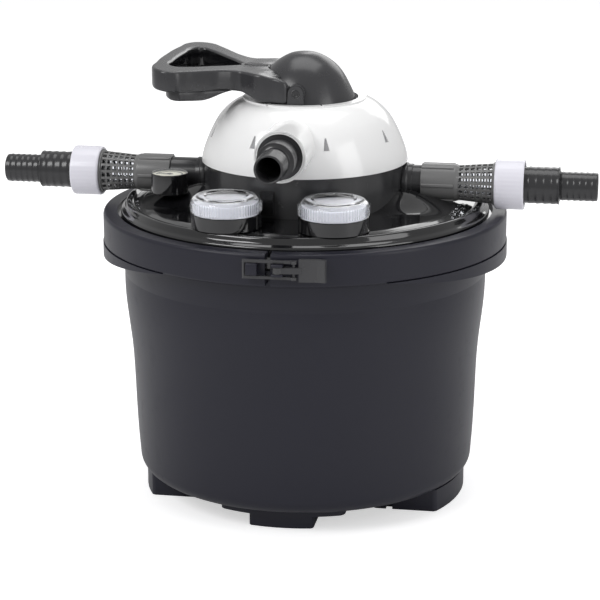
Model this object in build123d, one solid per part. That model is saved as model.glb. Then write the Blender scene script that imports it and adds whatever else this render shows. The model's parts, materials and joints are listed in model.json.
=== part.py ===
from build123d import *
import os
from math import cos, radians, sin

# Pressurized pond filter. Millimetres, +Z up. The origin is on the ground, on the tank's axis;
# +X points along the outlet pipe, -X along the inlet pipe, -Y to the waste port and the clamp latch.

# ---- driving dimensions ----
ring_r = 190.0          # clamp ring, outer radius
ring_top = 272.0        # height of the clamp ring's upper face
ring_height = 28.5
floor_z = 20.0          # underside of the tank's floor
wall = 4.0              # moulded wall thickness
neck_r = 175.0          # tank neck under the clamp ring
flange_r = 184.0        # tank and lid flanges inside the clamp ring
lid_rise_r = 173.5      # upright wall of the lid inside the ring
deck_z = 281.0          # flat deck of the lid
head_r = 94.5           # dark head housing
dome_z = 318.0          # lower edge of the white dome
dome_wall = 2.5
chamber_r = 57.0        # bore of the valve chamber
chamber_top = 362.0
turret_z = 374.0        # base of the turret cap
hinge_z = 387.0         # lever hinge axis
pipe_z = 299.5          # axis of the inlet and outlet pipes
drain_z = 345.0         # axis of the waste port
stub_r = 15.4           # outside of the head's pipe stubs
stub_bore = 12.0
inlet_x = 127.5         # distance from the tank axis to the inlet coupling
outlet_x = 111.0        # distance from the tank axis to the outlet coupling
sleeve_len = 34.5       # ribbed grip of a coupling
cage_len = 32.2         # perforated cone of a coupling
nut_len = 31.6
nut_r = 23.3
large_barb_r = 17.2
small_barb_r = 13.4
tail_bore = 10.6
large_barb_len = 29.7
small_barb_len = 34.6
lamp_x, lamp_y = 48.3, -130.4   # axis of each lamp well
cap_r = 32.0            # clear sight cap
gauge_x, gauge_y, gauge_r = -121.5, -39.0, 17.6
run = 0.05              # radial running clearance of a pin or shaft
gap = 0.3               # gap between curved faces that pass each other

BASE = (Align.CENTER, Align.CENTER, Align.MIN)


# ---- helpers ----
def turned(points):
    """Closed outline of (radius, height) points, turned about Z."""
    return revolve(Plane.XZ * make_face(Polyline(*points, close=True)), Axis.Z)


def turned_edges(edges):
    return revolve(Plane.XZ * make_face(edges), Axis.Z)


def disc(radius, low, high, x=0.0, y=0.0):
    return Pos(x, y, low) * Cylinder(radius, high - low, align=BASE)


def tube(outer, inner, low, high, x=0.0, y=0.0):
    return disc(outer, low, high, x, y) - disc(inner, low - 1, high + 1, x, y)


def block(x, y, z):
    """Box between pairs of limits on X, Y and Z."""
    size = (x[1] - x[0], y[1] - y[0], z[1] - z[0])
    return Pos((x[0] + x[1]) / 2, (y[0] + y[1]) / 2, (z[0] + z[1]) / 2) * Box(*size)


def to_right(shape):
    """Turns a shape made along +Z so that it lies along +X on the pipe axis."""
    return Pos(0, 0, pipe_z) * Rot(0, 90, 0) * shape


def to_left(shape):
    return Pos(0, 0, pipe_z) * Rot(0, -90, 0) * shape


def to_front(shape):
    """Turns a shape made along +Z so that it lies along -Y on the waste port's axis."""
    return Pos(0, 0, drain_z) * Rot(90, 0, 0) * shape


def around(count, start=0.0):
    return [start + 360.0 * i / count for i in range(count)]


def polar(radius, degrees):
    return radius * cos(radians(degrees)), radius * sin(radians(degrees))


def plan(points, low, high, round_r=0.0):
    """Prism of an XY outline, with its upright corners rounded."""
    solid = extrude(Pos(0, 0, low) * make_face(Polyline(*points, close=True)), high - low)
    return fillet(solid.edges().filter_by(Axis.Z), round_r) if round_r else solid


def side(points, half_width):
    """Prism of an XZ outline, as wide as twice half_width on Y."""
    face = Plane.XZ * make_face(Polyline(*points, close=True))
    return extrude(face, half_width, both=True)


# ---- tank ----
foot_r = 154.0
side_foot_half, side_foot_in = 73.0, 76.0
lobe_r, lobe_half, lobe_in, lobe_z = 139.0, 58.0, 85.0, 12.0
end_foot_r, end_foot_half, end_foot_in = 137.0, 30.0, 88.0
pad_r = 30.0
slot_near, slot_far, slot_depth = 89.0, 95.0, 6.0   # upright slot in each end of a side foot
skirt_r = 190.8
skirt_low = 229.3       # lowest point of the skirts, over the side feet
skirt_from = 100.0      # |X| where the skirts start


def foot_block(radius, half, inner, low, high, corner):
    """Block on the -Y side whose outer face follows a circle."""
    outline = [(-half, -inner), (half, -inner), (half, -radius), (-half, -radius)]
    solid = plan(outline, low, high) & disc(radius, low, high)
    return fillet(solid.edges().filter_by(Axis.Z), corner)


def skirt():
    """Apron under the clamp ring on the +X side, deepest over the side foot."""
    top = ring_top - ring_height - gap
    wedge = side([(skirt_from, top), (skirt_r + 1, skirt_low), (skirt_r + 1, top)], 200)
    return (disc(skirt_r, skirt_low - 2, top) - disc(neck_r - 2, skirt_low - 3, top + 1)) & wedge


def tank():
    outer = [
        Line((0, floor_z), (146, floor_z)),
        ThreePointArc((146, floor_z), (155.9, floor_z + 4.1), (160, floor_z + 14)),
        Spline((160, floor_z + 14), (163.5, 103), (165.5, 144), (170.3, 188), (171, 214)),
        Polyline((171, 214), (neck_r, 238), (neck_r, 250), (flange_r, 250), (flange_r, 256),
                 (neck_r - wall, 256), (neck_r - wall, 238), (167, 214)),
        Spline((167, 214), (166.3, 188), (161.5, 144), (159.5, 103), (156, floor_z + 14)),
        Polyline((156, floor_z + 14), (150, floor_z + wall + 2), (145, floor_z + wall),
                 (0, floor_z + wall), (0, floor_z)),
    ]
    body = turned_edges(outer)
    body += disc(pad_r, 0, floor_z + 1)
    side_foot = foot_block(foot_r, side_foot_half, side_foot_in, 0, floor_z + 1, 5)
    for far in (-side_foot_half, side_foot_half - slot_depth):
        side_foot -= block((far, far + slot_depth), (-slot_far, -slot_near), (-1, floor_z - 2))
    end_lobe = foot_block(lobe_r, lobe_half, lobe_in, lobe_z, floor_z + 1, 8)
    end_foot = foot_block(end_foot_r, end_foot_half, end_foot_in, 0, lobe_z + 1, 4)
    for turn in (0, 180):
        body += Rot(0, 0, turn) * (end_lobe + end_foot)
        body += Rot(0, 0, turn + 90) * side_foot
        body += Rot(0, 0, turn) * skirt()
    return body


# ---- clamp ring and its over-centre latch ----
latch_x, latch_y = 10.0, -197.0       # fulcrum pin of the lever
bail_x, bail_y = 24.0, -195.5         # pivot of the bail on the lever
hook_x = -19.8                        # the bail's cross bar, behind the anchor lug
latch_mid = ring_top - 11.5
ear_in, ear_out = 3.0, 5.4            # ears, above and below the middle of the latch
bail_in, bail_out = 5.9, 8.4          # bail arms, above and below the middle of the latch
lug_half = 5.4                        # anchor lug, above and below the middle of the latch
pin_hole, bail_hole = 2.0, 1.5


def clamp_ring():
    low = ring_top - ring_height
    body = turned([
        (176.5, ring_top), (188, ring_top), (ring_r, ring_top - 1.5), (ring_r, ring_top - 13),
        (ring_r - 0.4, ring_top - 14), (ring_r, ring_top - 15), (ring_r, low + 1), (189.3, low),
        (176, low), (176, 249.7), (185, 249.7), (185, 268), (176.5, 268),
    ])
    body -= block((-2.5, 2.5), (-200, -170), (low - 1, ring_top + 1))
    body += block((-18, -8), (-199, -187), (latch_mid - lug_half, latch_mid + lug_half))
    for near, far in ((-ear_out, -ear_in), (ear_in, ear_out)):
        ear = block((latch_x - 5, latch_x + 5), (latch_y, -187), (latch_mid + near, latch_mid + far))
        ear += disc(5, latch_mid + near, latch_mid + far, latch_x, latch_y)
        body += ear
    return body - disc(pin_hole, latch_mid - 9, latch_mid + 9, latch_x, latch_y)


def latch_pin():
    return disc(pin_hole, latch_mid - ear_out, latch_mid + ear_out, latch_x, latch_y)


def latch_lever():
    hub_half = ear_in - gap
    hub = disc(4.5, latch_mid - hub_half, latch_mid + hub_half, latch_x, latch_y)
    neck = plan([(latch_x, -193.4), (latch_x, -200.4), (31, -197.5), (31, -192.5)],
                latch_mid - hub_half, latch_mid + hub_half)
    outline = [(28.5, -193), (28.5, -197.5), (44, -195.5), (51, -196.5), (52, -193), (44, -190.8)]
    finger = plan(outline, latch_mid - 10, latch_mid + 10)
    cross_pin = disc(bail_hole, latch_mid - bail_out, latch_mid + bail_out, bail_x, bail_y)
    bore = disc(pin_hole + run, latch_mid - 9, latch_mid + 9, latch_x, latch_y)
    return hub + neck + finger + cross_pin - bore


def latch_bail():
    body = disc(bail_hole, latch_mid - bail_out, latch_mid + bail_out, hook_x, bail_y)
    for near, far in ((-bail_out, -bail_in), (bail_in, bail_out)):
        low, high = latch_mid + near, latch_mid + far
        body += block((hook_x, bail_x), (bail_y - bail_hole, bail_y + bail_hole), (low, high))
        body += disc(3, low, high, bail_x, bail_y)
        body -= disc(bail_hole + run, low - 1, high + 1, bail_x, bail_y)
    return body


# ---- lid ----
def hump():
    """Fairing that falls from the head to the rim, under the outlet pipe."""
    inner = Plane((86, 0, 0), x_dir=(0, 1, 0), z_dir=(1, 0, 0))
    outer = Plane((160, 0, 0), x_dir=(0, 1, 0), z_dir=(1, 0, 0))
    wide = Polyline((-62, 279), (-22, 296), (22, 296), (62, 279), close=True)
    narrow = Polyline((-34, 279), (-14, 282.5), (14, 282.5), (34, 279), close=True)
    return loft([inner * make_face(wide), outer * make_face(narrow)])


def lid():
    body = turned([
        (flange_r, 258), (flange_r, 268), (lid_rise_r, 268), (lid_rise_r, 273.5), (170, 275),
        (168, 280.5), (165, 282), (162, deck_z), (82, deck_z), (82, deck_z - wall),
        (160, deck_z - wall), (165, 272), (169, 268), (169, 258),
    ])
    fairing = hump() - disc(head_r + gap, 270, 320) - to_right(disc(cage_r1 + 1.4, 60, 200))
    for turn in (0, 180):
        body += Rot(0, 0, turn) * fairing
    for x in (-lamp_x, lamp_x):
        body += disc(33.5, deck_z - wall, deck_z + 1, x, lamp_y) & disc(166, 270, 290)
        body -= disc(24, 270, 290, x, lamp_y)
    return body


def lid_seal():
    return tube(181, 172, 256, 258)


# ---- lamp units under the clear caps ----
socket_top = 294.0
cap_top = 310.0
sleeve_r, sleeve_low, sleeve_high = 19.0, 110.0, 276.0


def lamp_socket(x):
    body = disc(31.5, deck_z + 1, socket_top, x, lamp_y) + disc(23.7, 258, deck_z + 2, x, lamp_y)
    body += tube(28.5, 21, socket_top - 1, socket_top + 5, x, lamp_y)
    body -= disc(sleeve_r, 250, sleeve_high, x, lamp_y)
    return body - disc(14.2, 250, socket_top + 9, x, lamp_y)


def sight_cap(x):
    shell = fillet(disc(cap_r, socket_top + gap, cap_top, x, lamp_y).edges().group_by(Axis.Z)[-1], 4)
    return shell - disc(cap_r - 2.5, socket_top - 1, cap_top - 2.5, x, lamp_y)


def quartz_sleeve(x):
    inner_r = sleeve_r - 1.5
    end = Pos(x, lamp_y, sleeve_low)
    outer = disc(sleeve_r, sleeve_low, sleeve_high, x, lamp_y) + end * Sphere(sleeve_r)
    inner = disc(inner_r, sleeve_low, sleeve_high + 1, x, lamp_y) + end * Sphere(inner_r)
    return outer - inner


def uv_lamp(x):
    body = disc(14, 252, 286, x, lamp_y)
    for offset in (-7.5, 7.5):
        body += disc(6, 120, 253, x + offset, lamp_y)
    return body + block((x - 7.5, x + 7.5), (lamp_y - 4, lamp_y + 4), (120, 128))


def sleeve_seal(x):
    return tube(sleeve_r + 4, sleeve_r, 255, 258, x, lamp_y)


# ---- head housing and valve ----
def head_housing():
    body = turned([
        (head_r, deck_z), (head_r, dome_z - 0.5), (62, dome_z - 0.5), (62, chamber_top),
        (chamber_r, chamber_top), (chamber_r, deck_z + wall), (0, deck_z + wall), (0, deck_z),
        (62, deck_z), (62, dome_z - 4.5), (88, dome_z - 4.5), (88, deck_z),
    ])
    body += to_right(tube(stub_r, stub_bore, 60, outlet_x + 14))
    body += to_left(tube(stub_r, stub_bore, 60, inlet_x + 14))
    body += to_front(tube(17, 13, 60, 122))
    for lay, bore in ((to_right, stub_bore), (to_left, stub_bore), (to_front, 13)):
        body -= lay(disc(bore, 50, 100))
    body -= disc(22, 270, 290)
    for angle in around(6, 30):
        x, y = polar(42, angle)
        body -= disc(9, 270, 290, x, y)
    return body - to_back(disc(gland_r, -15, 15))


def head_seal():
    return tube(87, 83, deck_z, deck_z + 2)


latch_turn = -10.5      # the lock latch sits this far round the head from -Y


def lock_latch():
    body = block((-6, 6), (-100, -head_r - gap), (284.5, 306))
    for i in range(5):
        body -= block((-7, 7), (-101, -99), (287 + 3.6 * i, 288.6 + 3.6 * i))
    return Rot(0, 0, latch_turn) * body


def valve_rotor():
    body = disc(chamber_r - 0.5, 288, 328) - disc(8, 280, 330)
    for sign in (-1, 1):
        near, far = sorted((sign * 14, sign * 60))
        body -= block((near, far), (-24, 24), (287, 315))
    return body


def seat_gasket():
    body = disc(chamber_r - 0.5, deck_z + wall, 288) - disc(22, 280, 290)
    for angle in around(6, 30):
        x, y = polar(42, angle)
        body -= disc(9, 280, 290, x, y)
    return body


def return_spring():
    coil_r, wire_r, turns = 15.0, 1.6, 4
    low, high = 328 + wire_r, chamber_top - wire_r
    path = Helix(pitch=(high - low) / turns, height=high - low, radius=coil_r)
    wire = sweep(Plane(path @ 0, z_dir=path % 0) * Circle(wire_r - 0.1), path)
    return Pos(0, 0, low) * wire


cover_screw_r = 59.5


def valve_cover():
    body = disc(62, chamber_top, 366) - disc(8 + run, 350, 370)
    for angle in around(6):
        x, y = polar(cover_screw_r, angle)
        body -= disc(1.5, 360, 370, x, y)
    return body


def cover_screws():
    screws = []
    for angle in around(6):
        x, y = polar(cover_screw_r, angle)
        screws.append(disc(1.5, chamber_top, 366.2, x, y) + disc(2.4, 366, 368, x, y))
    return Compound(children=screws)


def spindle():
    """Shaft of the valve; it turns with the turret and lifts with the lever."""
    body = disc(8, 288, 384) - tube(9, 6.4, 357, 361)
    head = block((-14, 14), (-6, 6), (380, 386))
    return body + head


def spindle_o_ring():
    return tube(7.95, 6.4, 357.5, 360.5)


# ---- white dome ----
def dome_outline(inset):
    """Edges of the half section of the dome, or of its hollow when inset is above zero."""
    skin = [(96.6, dome_z), (95.4, 325), (91.7, 336), (85.4, 350), (79.2, 360), (72, 367.5), (65, 372.5)]
    crown = (54, 376)
    shrunk = [(r - inset, z - inset * (z - dome_z) / 50) for r, z in skin]
    top = (crown[0] - inset, crown[1] - inset)
    return [
        Spline(*shrunk, top), Line(top, (0, top[1])), Line((0, top[1]), (0, dome_z)),
        Line((0, dome_z), (96.6 - inset, dome_z)),
    ]


def dome_cover():
    hollow = turned_edges(dome_outline(dome_wall))
    shell = turned_edges(dome_outline(0)) + to_front(disc(23.5, 60, 129))
    shell -= hollow
    shell -= disc(50, 360, 390)
    shell -= to_front(disc(20.5, 50, 140))
    wedge = make_face(Polyline((-0.7, 6), (0.7, 6), (2.9, -6), (-2.9, -6), close=True))
    notch = Pos(0, -86.6, 347.5) * Rot(64, 0, 0) * extrude(wedge, 1.2, both=True)
    for angle in around(8, 22.5):
        shell -= Rot(0, 0, angle) * notch
    return shell


def index_ring():
    body = tube(57.5, 50, 373.5, 377) - turned_edges(dome_outline(0))
    for angle in (-27, 27, 153, 207):
        body -= Rot(0, 0, angle) * block((-1, 1), (-60, -45), (375.5, 380))
    return body


# ---- turret and lever ----
pin_r = 3.9
lug_r = 8.1                           # round inner lugs of the lever, which turn in pockets of the cap
boss_r = 8.0
cheek_r = 7.2
boss_face = 42.7                      # |Y| of the cap's bosses, then the lever's lugs, then the cheeks
lug_in, lug_out = 43.0, 46.6
cheek_in, cheek_out = 46.9, 50.0


def cross_disc(radius, near, far):
    """Pair of discs on the hinge axis, one each side, between two distances from the middle."""
    discs = []
    for sign in (-1, 1):
        middle = sign * (near + far) / 2
        discs.append(Pos(0, middle, hinge_z) * Rot(90, 0, 0) * Cylinder(radius, far - near))
    return discs


def cap_outline(grow):
    """Edges of the half section of the egg-shaped cap, grown outwards by grow."""
    skin = [(47.8, turret_z), (42.4, 387.5), (35.4, 400), (27, 409), (17, 415.3)]
    grown = [(r + grow, z + grow * (z - turret_z) / 50) for r, z in skin]
    apex = (0, 418.5 + grow)
    return [
        Spline(*grown, apex, tangents=[(-0.25, 1), (-1, 0)]), Line(apex, (0, turret_z)),
        Line((0, turret_z), grown[0]),
    ]


def turret_cap():
    body = turned_edges(cap_outline(0))
    body += disc(49.3, 367, turret_z + 0.5)
    body -= turned_edges(cap_outline(-3.5)) & disc(60, turret_z + 3, 430)
    body += cross_disc(boss_r, 36, boss_face)
    cheek = side([(-8.2, turret_z - 4), (8.2, turret_z - 4), (cheek_r, hinge_z), (-cheek_r, hinge_z)],
                 cheek_out)
    cheek -= block((-20, 20), (-cheek_in, cheek_in), (360, 400)) + tube(60, 49.3, 360, 377.6)
    body += cheek + cross_disc(cheek_r, cheek_in, cheek_out)
    body -= cross_disc(lug_r + run, boss_face, cheek_in)
    body -= Pos(0, 0, hinge_z) * Rot(90, 0, 0) * Cylinder(pin_r, 120)
    body -= disc(8 + run, 360, 380)
    return body


def hinge_pins():
    return Compound(children=cross_disc(pin_r, 35.5, 49.5))


loop_tilt = 0.11        # the loop rises this much per millimetre from the neck
neck_x, loop_x = -52.0, -132.0
loop_top = 405.0        # upper face of the loop at the neck
loop_height = 19.0


def loop_line(x, drop):
    return loop_top - drop + loop_tilt * (neck_x - x)


def loop_plan(inset, end_inset):
    """Fan-shaped outer outline of the grip, narrowed by inset and shortened by end_inset."""
    corners = [
        (neck_x, 39 - inset), (-112 + end_inset / 2, 91 - 1.6 * inset), (loop_x + 2 + end_inset, 60),
        (loop_x + end_inset, 0),
    ]
    return corners + [(x, -y) for x, y in reversed(corners[:-1])]


def loop_opening():
    outline = [(-62, 10), (-110, 60), (-118, 54), (-118, -54), (-110, -60), (-62, -10)]
    return plan(outline, 370, 430, 5)


def handle_lever():
    fan = plan(loop_plan(0, 0), 370, 430)
    corners = fan.edges().filter_by(Axis.Z).sort_by(Axis.X)[:5]
    fan = fillet(corners, 15)
    near = [(-lug_r - 0.2, cheek_out), (-38, cheek_out), (neck_x - 1, 39)]
    arms = plan(near + [(x, -y) for x, y in reversed(near)], 370, 430)
    flank = side([
        (8, 378), (8, 396), (-4, 396), (-20, 401), (-34, 404), (neck_x, loop_top),
        (-140, loop_line(-140, 0)), (-140, loop_line(-140, loop_height)),
        (neck_x, loop_line(neck_x, loop_height)), (-32, 378.4),
    ], 100)
    arms -= block((-44, 12), (-40, 40), (360, 440))
    body = (fan + arms) & flank
    web = block((-14, 0), (-lug_out, lug_out), (hinge_z - 6, hinge_z + 6))
    body += web - block((-20, 5), (-lug_in, lug_in), (370, 400))
    body += cross_disc(lug_r, lug_in, lug_out)
    body -= loop_opening()
    body -= turned_edges(cap_outline(1.2))
    body -= disc(48.3, 370, 380)
    body -= block((-58, -45), (-3, 3), (370, 430))
    return body - Pos(0, 0, hinge_z) * Rot(90, 0, 0) * Cylinder(pin_r + run, 120)


def grip_insert():
    ring = plan(loop_plan(1.5, 12), 370, 430) - loop_opening()
    low, high = loop_height + 9, loop_height
    band = side([
        (-62, loop_line(-62, high)), (-125, loop_line(-125, high)), (-125, loop_line(-125, low)),
        (-76, loop_line(-76, low)),
    ], 100)
    return ring & band


# ---- couplings and hose tails, made along +Z from the coupling's inner end ----
cage_from = sleeve_len
nut_from = sleeve_len + cage_len
nut_to = nut_from + nut_len
step_at = nut_to + large_barb_len
tip_at = step_at + small_barb_len
cage_r0, cage_r1 = 16.3, 19.0


def coupling():
    body = turned([
        (15.4 + gap, 0), (17.5, 0), (17.5, cage_from - 3), (cage_r0, cage_from), (cage_r1, nut_from),
        (20.2, nut_from), (20.2, nut_from + 17), (14.9, nut_from + 17), (14.9, cage_from - 4),
        (14.9, 14.5), (15.4 + gap, 14.5),
    ])
    for angle in around(6, 30):
        body += Rot(0, 0, angle) * block((17, 18.6), (-1.5, 1.5), (0.5, cage_from - 4))
    holes = []
    rows, columns = 6, 16
    pitch = cage_len / (rows + 0.6)
    for row in range(rows):
        z = cage_from + pitch * (row + 0.8)
        for angle in around(columns):
            holes.append(Rot(0, 0, angle) * Pos(18, 0, z) * Box(8, 3.9, pitch * 0.66))
    return body - holes


def sight_tube():
    return tube(14.8, 13.2, 15, nut_from + 16)


def union_nut():
    mouth = large_barb_r + 0.6
    return turned([
        (20.6, nut_from - 0.5), (nut_r - 1, nut_from - 0.5), (nut_r, nut_from + 1),
        (nut_r, nut_to - 1), (nut_r - 1, nut_to), (mouth, nut_to), (mouth, nut_to - 3),
        (20.6, nut_to - 3),
    ])


def barbs(radius, start, stop, count):
    """Outline points of a row of hose barbs whose crests are short cylinders."""
    points = []
    pitch = (stop - start) / count
    for i in range(count):
        z = start + pitch * i
        points += [(radius - 0.7, z), (radius, z + 0.25 * pitch), (radius, z + 0.6 * pitch)]
        points += [(radius - 0.7, z + 0.75 * pitch)]
    return points + [(radius - 0.7, stop)]


def hose_tail(flange, nut_end, step, tip, large_r, small_r, bore, counts=(6, 7)):
    outline = [(bore, flange), (20.2, flange), (20.2, flange + 4), (large_r - 0.2, flange + 4)]
    outline += [(large_r - 0.2, nut_end)] + barbs(large_r, nut_end + 0.5, step - 2, counts[0])
    outline += barbs(small_r, step, tip - 1, counts[1])
    outline += [(small_r - 1.2, tip), (bore, tip)]
    return turned(outline)


def side_tail():
    return hose_tail(nut_from + 19, nut_to, step_at, tip_at, large_barb_r, small_barb_r, tail_bore)


def tail_seal():
    return tube(19.5, 15.2, nut_from + 17, nut_from + 19)


drain_flange, drain_step, drain_tip = 122.0, 152.0, 184.0
drain_large_r, drain_small_r, drain_bore = 16.8, 13.3, 10.8


def drain_tail():
    tail = hose_tail(drain_flange + 2, drain_flange + 7, drain_step, drain_tip,
                     drain_large_r, drain_small_r, drain_bore, (4, 6))
    return to_front(tail)


def drain_seal():
    return to_front(tube(19.5, 14, drain_flange, drain_flange + 2))


# ---- flow gauge on the inlet stub ----
gauge_low, gauge_high, dial_z = 289.5, 308.5, 306.0
dial_r = 16.6


def gauge_housing():
    body = disc(gauge_r, gauge_low, gauge_high, gauge_x, gauge_y)
    body += Pos(gauge_x, -19.5, pipe_z) * Rot(90, 0, 0) * Cylinder(5.5, 15)
    body -= to_left(disc(stub_r, 60, 200))
    return body - disc(dial_r + 0.1, dial_z, gauge_high + 1, gauge_x, gauge_y)


def gauge_dial():
    return disc(dial_r, dial_z, dial_z + 0.6, gauge_x, gauge_y)


def gauge_needle():
    hub = disc(1.8, dial_z + 0.8, dial_z + 1.5, gauge_x, gauge_y)
    along = (gauge_x - 10.5, gauge_x + 3)
    return hub + block(along, (gauge_y - 0.6, gauge_y + 0.6), (dial_z + 0.9, dial_z + 1.3))


def gauge_lens():
    return disc(dial_r, dial_z + 1.7, gauge_high, gauge_x, gauge_y)


# ---- filter media inside the tank ----
foam_r, foam_low, foam_height, foam_gap = 153.0, 44.0, 44.0, 0.5
tube_r = 30.0
rod_r, rod_circle = 3.0, 90.0


def with_passages(body, deep):
    """Cuts the centre tube, the tie rods and, in the upper layers, the lamp wells."""
    body -= disc(tube_r + gap, 0, 300)
    for angle in around(4, 45):
        x, y = polar(rod_circle, angle)
        body -= disc(rod_r + gap, 0, 300, x, y)
    if deep:
        for x in (-lamp_x, lamp_x):
            body -= disc(sleeve_r + 3, 0, 300, x, lamp_y)
    return body


def foam_ring(index):
    low = foam_low + index * foam_height + foam_gap
    return with_passages(disc(foam_r, low, low + foam_height - 2 * foam_gap), index > 0)


def base_grid():
    body = with_passages(disc(150, 40, foam_low), False)
    for angle in around(4):
        x, y = polar(120, angle)
        body += tube(12, 9, floor_z + wall, 41, x, y)
    for angle in around(24, 7.5):
        body -= Rot(0, 0, angle) * block((104, 142), (-3, 3), (30, 50))
    return body


def top_grid():
    low = foam_low + 4 * foam_height + foam_gap
    body = with_passages(disc(foam_r, low, low + 4), True)
    for angle in around(24, 7.5):
        body -= Rot(0, 0, angle) * block((44, 82), (-3, 3), (low - 5, low + 9))
    return body


def tie_rods():
    rods = []
    for angle in around(4, 45):
        x, y = polar(rod_circle, angle)
        rods.append(disc(rod_r, 38, 228, x, y) + disc(6, 225, 231, x, y) + disc(6, 34, 39.8, x, y))
    return Compound(children=rods)


def centre_tube():
    body = tube(tube_r, 27, floor_z + wall, deck_z)
    for angle in around(8):
        body -= Rot(0, 0, angle) * block((20, 40), (-3, 3), (56, 210))
    return body


# ---- electrical parts of the head ----
gland_r, cable_r = 7.0, 3.5


def to_back(shape):
    """Turns a shape made along +Z so that it lies along +Y, from the head's rear wall out."""
    return Pos(0, head_r, pipe_z) * Rot(-90, 0, 0) * shape


def cable_gland():
    wall_depth = head_r - 88
    body = extrude(RegularPolygon(10, 6), 8) + disc(8, 7, 15)
    body += disc(gland_r, -wall_depth, 2)
    return to_back(body - disc(cable_r, -20, 20))


def ballast():
    return fillet(block((-25, 25), (66, 83), (287, 309)).edges().filter_by(Axis.X), 2)


# ---- assembly ----
def in_pair(maker):
    """The same part once for each lamp well."""
    return {"left": maker(-lamp_x), "right": maker(lamp_x)}


def pipe_side(name, lay, distance):
    """Coupling, sight tube, union nut, hose tail and seal of one pipe."""
    makers = {"coupling": coupling, "sight_tube": sight_tube, "union_nut": union_nut,
              "hose_tail": side_tail, "seal": tail_seal}
    return {f"{name}_{part}": lay(Pos(0, 0, distance) * make()) for part, make in makers.items()}


def all_nodes():
    nodes = {
        "tank": tank(), "clamp_ring": clamp_ring(), "latch_pin": latch_pin(), "latch_lever": latch_lever(),
        "latch_bail": latch_bail(), "lid": lid(), "lid_seal": lid_seal(),
        "head_housing": head_housing(), "head_seal": head_seal(), "lock_latch": lock_latch(),
        "dome_cover": dome_cover(), "index_ring": index_ring(), "turret_cap": turret_cap(),
        "hinge_pins": hinge_pins(), "handle_lever": handle_lever(), "grip_insert": grip_insert(),
        "spindle": spindle(), "spindle_o_ring": spindle_o_ring(), "valve_rotor": valve_rotor(),
        "seat_gasket": seat_gasket(), "return_spring": return_spring(), "valve_cover": valve_cover(),
        "cover_screws": cover_screws(), "drain_tail": drain_tail(), "drain_seal": drain_seal(),
        "gauge_housing": gauge_housing(), "gauge_dial": gauge_dial(), "gauge_needle": gauge_needle(),
        "gauge_lens": gauge_lens(), "centre_tube": centre_tube(), "base_grid": base_grid(),
        "top_grid": top_grid(), "tie_rods": tie_rods(), "cable_gland": cable_gland(), "ballast": ballast(),
    }
    for i in range(4):
        nodes[f"foam_ring_{i + 1}"] = foam_ring(i)
    for part in (lamp_socket, sight_cap, quartz_sleeve, uv_lamp, sleeve_seal):
        for where, solid in in_pair(part).items():
            nodes[f"{part.__name__}_{where}"] = solid
    nodes.update(pipe_side("inlet", to_left, inlet_x))
    nodes.update(pipe_side("outlet", to_right, outlet_x))
    return nodes


os.makedirs("parts", exist_ok=True)
for node, solid in all_nodes().items():
    export_step(solid, f"parts/{node}.step")
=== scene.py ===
import json
import math

import bmesh
import bpy
from mathutils import Matrix, Vector


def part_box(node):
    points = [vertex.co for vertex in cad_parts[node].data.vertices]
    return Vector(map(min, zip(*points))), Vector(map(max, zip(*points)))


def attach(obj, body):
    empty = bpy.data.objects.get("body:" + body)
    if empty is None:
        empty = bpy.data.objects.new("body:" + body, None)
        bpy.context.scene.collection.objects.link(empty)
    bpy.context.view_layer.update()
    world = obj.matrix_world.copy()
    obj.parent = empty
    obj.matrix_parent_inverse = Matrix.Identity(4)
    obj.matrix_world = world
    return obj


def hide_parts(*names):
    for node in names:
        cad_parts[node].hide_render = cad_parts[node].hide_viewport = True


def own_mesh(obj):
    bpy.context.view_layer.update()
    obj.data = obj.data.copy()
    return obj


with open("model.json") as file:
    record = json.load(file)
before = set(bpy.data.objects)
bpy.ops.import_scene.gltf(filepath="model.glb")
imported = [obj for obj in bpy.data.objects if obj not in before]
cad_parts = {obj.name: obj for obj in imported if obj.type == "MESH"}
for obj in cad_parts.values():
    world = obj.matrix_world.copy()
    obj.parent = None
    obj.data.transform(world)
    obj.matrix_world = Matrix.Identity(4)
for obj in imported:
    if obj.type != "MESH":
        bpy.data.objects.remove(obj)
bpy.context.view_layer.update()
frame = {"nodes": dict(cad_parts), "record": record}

MM = 0.001
X, Y, Z = 0, 1, 2


# ---- places read from the CAD nodes, in millimetres ----
def span(node, axis):
    low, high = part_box(node)
    return low[axis] / MM, high[axis] / MM


def middle(node, axis):
    low, high = span(node, axis)
    return (low + high) / 2


pipe_z = middle("outlet_seal", Z)
drain_z = middle("drain_seal", Z)
hinge_z = middle("hinge_pins", Z)
ring_low, ring_top = span("clamp_ring", Z)
ring_r = span("clamp_ring", Y)[1]
deck_z = span("head_housing", Z)[0]
inlet_x, outlet_x = -span("inlet_coupling", X)[1], span("outlet_coupling", X)[0]
coupling_len = span("outlet_coupling", X)[1] - outlet_x
nut_from, nut_to = (edge - outlet_x for edge in span("outlet_union_nut", X))
tail_from, tail_tip = (edge - outlet_x for edge in span("outlet_hose_tail", X))
gauge_x, gauge_y = middle("gauge_housing", X), middle("gauge_dial", Y)

RIGHT = Matrix.Translation((0, 0, pipe_z)) @ Matrix.Rotation(math.pi / 2, 4, "Y")
LEFT = Matrix.Translation((0, 0, pipe_z)) @ Matrix.Rotation(-math.pi / 2, 4, "Y")
FRONT = Matrix.Translation((0, 0, drain_z)) @ Matrix.Rotation(math.pi / 2, 4, "X")
UPRIGHT = Matrix()


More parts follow.
